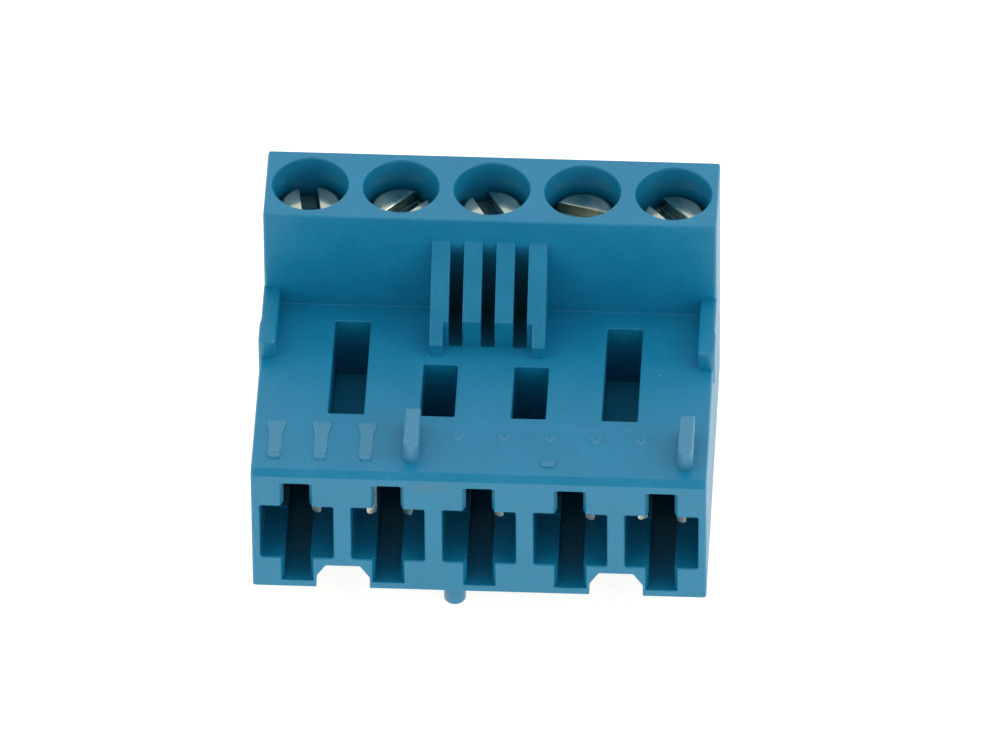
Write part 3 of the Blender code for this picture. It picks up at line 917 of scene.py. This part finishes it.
def mix_colour(nodes, links, factor, first, second):
    made = nodes.new("ShaderNodeMix")
    made.data_type = "RGBA"
    for socket, value in zip((made.inputs[0], made.inputs[6], made.inputs[7]), (factor, first, second)):
        if isinstance(value, (int, float)):
            socket.default_value = value
        elif isinstance(value, tuple):
            socket.default_value = (*value, 1.0)
        else:
            links.new(value, socket)
    return made.outputs[2]


def surface_grain_group():
    """Fine surface grain: a fine height, a slow mottle and a pit mask, all from 0 to 1."""
    group, nodes, links, given, result = new_group(
        "surface_grain",
        [
            ("Grain Scale", "NodeSocketFloat", 9000.0),
            ("Mottle Scale", "NodeSocketFloat", 700.0),
        ],
        [
            ("Height", "NodeSocketFloat"),
            ("Mottle", "NodeSocketFloat"),
            ("Speckle", "NodeSocketFloat"),
        ],
    )
    place = nodes.new("ShaderNodeTexCoord").outputs["Object"]
    fine = noise(nodes, links, place, given.outputs["Grain Scale"], 3.0, 0.6)
    slow = noise(nodes, links, place, given.outputs["Mottle Scale"], 4.0, 0.55)
    half_scale = maths(nodes, links, "MULTIPLY", given.outputs["Grain Scale"], 0.55)
    speck = noise(nodes, links, place, half_scale, 1.0, 0.4)
    links.new(fine.outputs["Fac"], result.inputs["Height"])
    links.new(remap(nodes, links, slow.outputs["Fac"], 0.3, 0.7, 0.0, 1.0), result.inputs["Mottle"])
    links.new(remap(nodes, links, speck.outputs["Fac"], 0.35, 0.65, 0.0, 1.0), result.inputs["Speckle"])
    return group


def handling_group():
    """Dust specks and faint scuffs from handling, as masks from 0 to 1."""
    group, nodes, links, given, result = new_group(
        "handling_marks",
        [
            ("Dust Amount", "NodeSocketFloat", 0.5),
            ("Scuff Scale", "NodeSocketFloat", 1200.0),
        ],
        [("Dust", "NodeSocketFloat"), ("Scuff", "NodeSocketFloat")],
    )
    place = nodes.new("ShaderNodeTexCoord").outputs["Object"]
    cells = nodes.new("ShaderNodeTexVoronoi")
    cells.inputs["Scale"].default_value = 420.0
    links.new(place, cells.inputs["Vector"])
    near = remap(nodes, links, cells.outputs["Distance"], 0.035, 0.02, 0.0, 1.0)
    rare = nodes.new("ShaderNodeSeparateColor")
    links.new(cells.outputs["Color"], rare.inputs["Color"])
    chosen = maths(nodes, links, "LESS_THAN", rare.outputs["Red"], 0.05)
    dust = maths(nodes, links, "MULTIPLY", near, chosen)
    links.new(maths(nodes, links, "MULTIPLY", dust, given.outputs["Dust Amount"]), result.inputs["Dust"])
    stretch = nodes.new("ShaderNodeMapping")
    stretch.inputs["Scale"].default_value = (1.0, 0.12, 1.0)
    stretch.inputs["Rotation"].default_value = (0.2, 0.1, 0.5)
    links.new(place, stretch.inputs["Vector"])
    scuff = noise(nodes, links, stretch.outputs["Vector"], given.outputs["Scuff Scale"], 3.0, 0.6)
    links.new(remap(nodes, links, scuff.outputs["Fac"], 0.62, 0.75, 0.0, 1.0), result.inputs["Scuff"])
    return group


def cavity_group():
    """Painted shade: a colour darkened where ambient occlusion finds the surface shut in, standing in for
    the light that recesses and narrow places lose.
    """
    group, nodes, links, given, result = new_group(
        "cavity_shade",
        [
            ("Color", "NodeSocketColor", (1.0, 1.0, 1.0, 1.0)),
            ("Reach", "NodeSocketFloat", 0.003),
            ("Depth", "NodeSocketFloat", 0.7),
            ("Closed", "NodeSocketFloat", 0.05),
            ("Open", "NodeSocketFloat", 0.25),
        ],
        [("Color", "NodeSocketColor"), ("Openness", "NodeSocketFloat")],
    )
    open_sky = nodes.new("ShaderNodeAmbientOcclusion")
    open_sky.samples = 6
    links.new(given.outputs["Reach"], open_sky.inputs["Distance"])
    openness_range = nodes.new("ShaderNodeMapRange")
    links.new(open_sky.outputs["AO"], openness_range.inputs["Value"])
    links.new(given.outputs["Closed"], openness_range.inputs["From Min"])
    links.new(given.outputs["Open"], openness_range.inputs["From Max"])
    openness = openness_range.outputs["Result"]
    closed = maths(nodes, links, "SUBTRACT", 1.0, openness)
    amount = maths(nodes, links, "MULTIPLY", closed, given.outputs["Depth"])
    # Painted shade: the colour is mixed towards near black as the surface gets more closed in
    links.new(
        mix_colour(nodes, links, amount, given.outputs["Color"], (0.0, 0.004, 0.008)),
        result.inputs["Color"],
    )
    links.new(openness, result.inputs["Openness"])
    return group


GRAIN = surface_grain_group()
HANDLING = handling_group()
CAVITY = cavity_group()


def new_material(name):
    made = bpy.data.materials.new(name)
    made.use_nodes = True
    nodes = made.node_tree.nodes
    return made, nodes, made.node_tree.links, nodes["Principled BSDF"]


def place_group(nodes, group, values):
    made = nodes.new("ShaderNodeGroup")
    made.node_tree = group
    for label, value in values.items():
        made.inputs[label].default_value = value
    return made


def shade_cavities(nodes, links, colour, shader, reach, depth, closed_to_open):
    """Colours a shader's base with painted shade, darkening its cavities."""
    closed, opened = closed_to_open
    settings = {"Reach": reach, "Depth": depth, "Closed": closed, "Open": opened}
    cavity = place_group(nodes, CAVITY, settings)
    links.new(colour, cavity.inputs["Color"])
    links.new(cavity.outputs["Color"], shader.inputs["Base Color"])


def bump(nodes, links, height, distance, strength, shader, normal=None):
    made = nodes.new("ShaderNodeBump")
    made.inputs["Distance"].default_value = distance
    made.inputs["Strength"].default_value = strength
    links.new(height, made.inputs["Height"])
    if normal is not None:
        links.new(normal, made.inputs["Normal"])
    if shader is not None:
        links.new(made.outputs["Normal"], shader.inputs["Normal"])
    return made.outputs["Normal"]


def smudge(nodes, links):
    """A faint finger mark on the mating face, above the wall between the second and third poles."""
    place = nodes.new("ShaderNodeMapping")
    place.vector_type = "TEXTURE"
    place.inputs["Location"].default_value = Vector(SMUDGE_PLACE) * MM
    place.inputs["Scale"].default_value = Vector(SMUDGE_SIZE) * MM
    links.new(nodes.new("ShaderNodeTexCoord").outputs["Object"], place.inputs["Vector"])
    reach = nodes.new("ShaderNodeVectorMath")
    reach.operation = "LENGTH"
    links.new(place.outputs["Vector"], reach.inputs[0])
    uneven = noise(nodes, links, place.outputs["Vector"], None, 3.0)
    uneven.inputs["Scale"].default_value = 1.7
    body = remap(nodes, links, reach.outputs["Value"], 0.3, 1.0, 0.45, 0.0)
    return maths(nodes, links, "MULTIPLY", body, uneven.outputs["Fac"])


BLUE_BODY = ((0.0004, 0.186, 0.342), (0.0012, 0.211, 0.378))
BLUE_FLECK = (0.004, 0.150, 0.280)
BROKEN_PALE = (0.55, 0.62, 0.66)
FINGER_DIRT = (0.10, 0.13, 0.14)
DUST = (0.75, 0.72, 0.66)
METAL_DUST = (0.7, 0.68, 0.62)
ZINC_PLATE = ((0.46, 0.53, 0.43), (0.71, 0.75, 0.65))


def blue_plastic():
    """Finely textured blue polyamide, with a slow mottle, a soft sheen, a little dust, and painted shade
    in its recesses.
    """
    made, nodes, links, shader = new_material("blue_polyamide")
    grain = place_group(nodes, GRAIN, {"Grain Scale": 11000.0, "Mottle Scale": 500.0})
    marks = place_group(nodes, HANDLING, {"Dust Amount": 0.7, "Scuff Scale": 900.0})
    body = mix_colour(nodes, links, grain.outputs["Mottle"], *BLUE_BODY)
    fleck = maths(nodes, links, "MULTIPLY", grain.outputs["Speckle"], 0.45)
    flecked = mix_colour(nodes, links, fleck, body, BLUE_FLECK)
    pale = nodes.new("ShaderNodeAttribute")
    pale.attribute_name = "whitening"
    rubbed = mix_colour(nodes, links, pale.outputs["Fac"], flecked, BROKEN_PALE)
    dirty = mix_colour(nodes, links, smudge(nodes, links), rubbed, FINGER_DIRT)
    dusty = mix_colour(nodes, links, marks.outputs["Dust"], dirty, DUST)
    # Painted shade: the blue is darkened in slots, holes and corners where the surface is shut in
    shade_cavities(nodes, links, dusty, shader, 0.003, 0.85, (0.03, 0.17))
    rough = remap(nodes, links, grain.outputs["Mottle"], 0.0, 1.0, 0.33, 0.41)
    worn = maths(nodes, links, "MULTIPLY", marks.outputs["Scuff"], 0.06)
    links.new(maths(nodes, links, "ADD", rough, worn), shader.inputs["Roughness"])
    shader.inputs["IOR"].default_value = 1.53
    bump(nodes, links, grain.outputs["Height"], 0.00003, 0.35, shader)
    return made


def plated_metal(name, colours, rough_range, grain_scale, brushed=None):
    """Plated sheet or wire: fine grain along the metal, a slightly uneven plate, and painted shade in its
    cavities.
    """
    made, nodes, links, shader = new_material(name)
    grain = place_group(nodes, GRAIN, {"Grain Scale": grain_scale, "Mottle Scale": 900.0})
    marks = place_group(nodes, HANDLING, {"Dust Amount": 0.0, "Scuff Scale": 1500.0})
    tint = mix_colour(nodes, links, grain.outputs["Mottle"], *colours)
    # Painted shade: the plate is darkened almost to black in cavities, such as inside the blade slots
    shade_cavities(nodes, links, tint, shader, 0.002, 0.98, (0.15, 0.5))
    shader.inputs["Metallic"].default_value = 1.0
    rough = remap(nodes, links, grain.outputs["Mottle"], 0.0, 1.0, *rough_range)
    worn = maths(nodes, links, "MULTIPLY", marks.outputs["Scuff"], 0.12)
    links.new(maths(nodes, links, "ADD", rough, worn), shader.inputs["Roughness"])
    fine = bump(nodes, links, grain.outputs["Height"], 0.000005, 0.1, shader if brushed is None else None)
    if brushed is not None:
        place = nodes.new("ShaderNodeTexCoord").outputs["Object"]
        stretch = nodes.new("ShaderNodeMapping")
        stretch.inputs["Scale"].default_value = brushed
        links.new(place, stretch.inputs["Vector"])
        lines = noise(nodes, links, stretch.outputs["Vector"], None, 2.0)
        lines.inputs["Scale"].default_value = 1.0
        bump(nodes, links, lines.outputs["Fac"], 0.00001, 0.15, shader, fine)
    return made


def turned_zinc():
    """Zinc-plated screws: turning rings about the axis, under a slightly yellow passivated plate, with
    painted shade in the head slot and hollows.
    """
    made, nodes, links, shader = new_material("zinc_plated_steel")
    grain = place_group(nodes, GRAIN, {"Grain Scale": 14000.0, "Mottle Scale": 1600.0})
    marks = place_group(nodes, HANDLING, {"Dust Amount": 0.3, "Scuff Scale": 2200.0})
    tint = mix_colour(nodes, links, grain.outputs["Mottle"], *ZINC_PLATE)
    dusty = mix_colour(nodes, links, marks.outputs["Dust"], tint, METAL_DUST)
    # Painted shade: the zinc is darkened in the head slot and other hollows
    shade_cavities(nodes, links, dusty, shader, 0.001, 0.9, (0.2, 0.75))
    shader.inputs["Metallic"].default_value = 1.0
    rough = remap(nodes, links, grain.outputs["Mottle"], 0.0, 1.0, 0.10, 0.17)
    worn = maths(nodes, links, "MULTIPLY", marks.outputs["Scuff"], 0.08)
    links.new(maths(nodes, links, "ADD", rough, worn), shader.inputs["Roughness"])
    rings = nodes.new("ShaderNodeTexWave")
    rings.wave_type = "RINGS"
    rings.rings_direction = "Z"
    rings.inputs["Scale"].default_value = 2600.0
    rings.inputs["Distortion"].default_value = 1.5
    rings.inputs["Detail"].default_value = 2.0
    links.new(nodes.new("ShaderNodeTexCoord").outputs["Object"], rings.inputs["Vector"])
    turning = bump(nodes, links, rings.outputs["Fac"], 0.000005, 0.08, None)
    bump(nodes, links, grain.outputs["Height"], 0.000004, 0.06, shader, turning)
    return made


def dress(piece, node, body, finish):
    """Gives a finished piece its material, and lets it stand for its CAD node."""
    piece.data.materials.clear()
    piece.data.materials.append(finish)
    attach(piece, body)
    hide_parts(node)


# ---------------------------------------------------------------- studio


CAMERA_AZIMUTH_DEG = 3.142
CAMERA_ELEVATION_DEG = 42.976
CAMERA_ROLL_DEG = -0.524
CAMERA_DISTANCE = 1000.0
CAMERA_LENS = 654.26
AIM_Z = 7.0
AIM_OFFSET = (0.719, 0.320)
TENT_STRENGTH = 1.28
DARK_STRENGTH = 0.08
DARK_DIRECTION = (0.05, -0.70, 0.70)
DARK_COSINES = (0.77, 0.95)
# How much of the dark opening's shade falls on matt surfaces, next to its full reflection
DARK_ON_MATT = 0.7
DIM_STRENGTH = 0.95
DIM_DIRECTION = (-0.2, 0.75, 0.63)
DIM_COSINES = (0.6, 0.95)
FLOOR_GLOW = (1.0, 0.97, 0.90, 1.0)
FLOOR_GLOW_STRENGTH = 0.88
FLOOR_HALF_SIZE = 1500.0


def floor_material():
    """Pale paper lit from underneath, so only a faint warm shadow is left on it."""
    made, nodes, links, shader = new_material("pale_floor")
    grain = place_group(nodes, GRAIN, {"Grain Scale": 900.0, "Mottle Scale": 40.0})
    tint = mix_colour(nodes, links, grain.outputs["Mottle"], (0.40, 0.40, 0.40), (0.39, 0.39, 0.385))
    links.new(tint, shader.inputs["Base Color"])
    shader.inputs["Roughness"].default_value = 0.7
    shader.inputs["Emission Color"].default_value = FLOOR_GLOW
    shader.inputs["Emission Strength"].default_value = FLOOR_GLOW_STRENGTH
    return made


def build_floor():
    """A pale floor that touches the key peg in front and the bottom edge at the rear."""
    shape = bmesh.new()
    bmesh.ops.create_grid(shape, x_segments=8, y_segments=8, size=FLOOR_HALF_SIZE)
    floor = mesh_object("floor", shape)
    slope = math.atan2(PEG_LENGTH, REAR - PEG_Y)
    turn = Matrix.Rotation(slope, 4, "X")
    rest = Vector((0.0, REAR, -0.02)) * MM
    floor.matrix_world = Matrix.Translation(rest) @ turn
    floor.data.materials.append(floor_material())


def add_light(name, place, target, size, power, colour=(1.0, 1.0, 1.0)):
    data = bpy.data.lights.new(name, "AREA")
    data.shape = "RECTANGLE"
    data.size = size[0] * MM
    data.size_y = size[1] * MM
    data.energy = power
    data.color = colour
    lamp = bpy.data.objects.new(name, data)
    bpy.context.scene.collection.objects.link(lamp)
    lamp.location = Vector(place) * MM
    aim = (Vector(target) - Vector(place)).normalized()
    lamp.rotation_euler = aim.to_track_quat("-Z", "Y").to_euler()


def cosine_to(nodes, links, direction, target):
    """How closely a direction points at a target direction, from -1 to 1."""
    made = nodes.new("ShaderNodeVectorMath")
    made.operation = "DOT_PRODUCT"
    made.inputs[1].default_value = Vector(target).normalized()
    links.new(direction, made.inputs[0])
    return made.outputs["Value"]


def build_world():
    """A white tent all round, with the darker opening that the camera looks through."""
    world = bpy.data.worlds.new("studio")
    world.use_nodes = True
    nodes, links = world.node_tree.nodes, world.node_tree.links
    direction = nodes.new("ShaderNodeTexCoord").outputs["Generated"]
    facing = cosine_to(nodes, links, direction, DARK_DIRECTION)
    opening = remap(nodes, links, facing, *DARK_COSINES, 0.0, 1.0)
    behind = cosine_to(nodes, links, direction, DIM_DIRECTION)
    tent = remap(nodes, links, behind, *DIM_COSINES, TENT_STRENGTH, DIM_STRENGTH)
    reflected = nodes.new("ShaderNodeLightPath").outputs["Is Glossy Ray"]
    seen = remap(nodes, links, reflected, 0.0, 1.0, DARK_ON_MATT, 1.0)
    opening = maths(nodes, links, "MULTIPLY", opening, seen)
    shade = remap(nodes, links, opening, 0.0, 1.0, 1.0, DARK_STRENGTH / TENT_STRENGTH)
    links.new(maths(nodes, links, "MULTIPLY", tent, shade), nodes["Background"].inputs["Strength"])
    nodes["Background"].inputs["Color"].default_value = (1.0, 1.0, 1.0, 1.0)
    bpy.context.scene.world = world


def build_lights():
    middle = (0.0, 0.0, 7.0)
    add_light("top_softbox", (0.0, 60.0, 260.0), middle, (240.0, 180.0), 0.02)
    add_light("right_softbox", (260.0, -30.0, 150.0), middle, (160.0, 160.0), 0.1, (0.92, 0.97, 1.0))


def build_camera():
    azimuth = math.radians(CAMERA_AZIMUTH_DEG)
    elevation = math.radians(CAMERA_ELEVATION_DEG)
    roll = math.radians(CAMERA_ROLL_DEG)
    back = Vector(
        (
            math.sin(azimuth) * math.cos(elevation),
            -math.cos(azimuth) * math.cos(elevation),
            math.sin(elevation),
        )
    )
    level = Vector((math.cos(azimuth), math.sin(azimuth), 0.0))
    upright = back.cross(level)
    right = level * math.cos(roll) + upright * math.sin(roll)
    up = upright * math.cos(roll) - level * math.sin(roll)
    place = Vector((0.0, 0.0, AIM_Z)) + back * CAMERA_DISTANCE
    place += right * AIM_OFFSET[0] + up * AIM_OFFSET[1]
    data = bpy.data.cameras.new("camera")
    data.sensor_width = 36.0
    data.lens = CAMERA_LENS
    data.clip_start = 0.05
    data.clip_end = 10.0
    camera = bpy.data.objects.new("camera", data)
    bpy.context.scene.collection.objects.link(camera)
    turn = Matrix((right, up, back)).transposed().to_4x4()
    camera.matrix_world = Matrix.Translation(place * MM) @ turn
    bpy.context.scene.camera = camera


def set_picture():
    view = bpy.context.scene.view_settings
    view.view_transform = "Standard"
    view.look = "None"
    view.exposure = 0.0
    view.gamma = 1.0


# ---------------------------------------------------------------- everything


build_housing()
zinc = turned_zinc()
nickel = plated_metal(
    "nickel_plated_steel",
    ((0.50, 0.47, 0.42), (0.60, 0.57, 0.52)),
    (0.26, 0.38),
    9000.0,
    (800.0, 12000.0, 800.0),
)
tin = plated_metal(
    "tinned_copper_alloy", ((0.82, 0.74, 0.58), (0.90, 0.84, 0.72)), (0.14, 0.24), 8000.0
)
spring_steel = plated_metal(
    "stainless_spring_steel",
    ((0.42, 0.42, 0.42), (0.52, 0.52, 0.53)),
    (0.24, 0.34),
    10000.0,
    (12000.0, 700.0, 700.0),
)
for pole in range(1, POLES + 1):
    build_screw(pole, zinc)
    build_cage(pole, nickel)
    build_contact(pole, tin)
    build_spring(pole, spring_steel)
build_floor()
build_world()
build_lights()
build_camera()
set_picture()
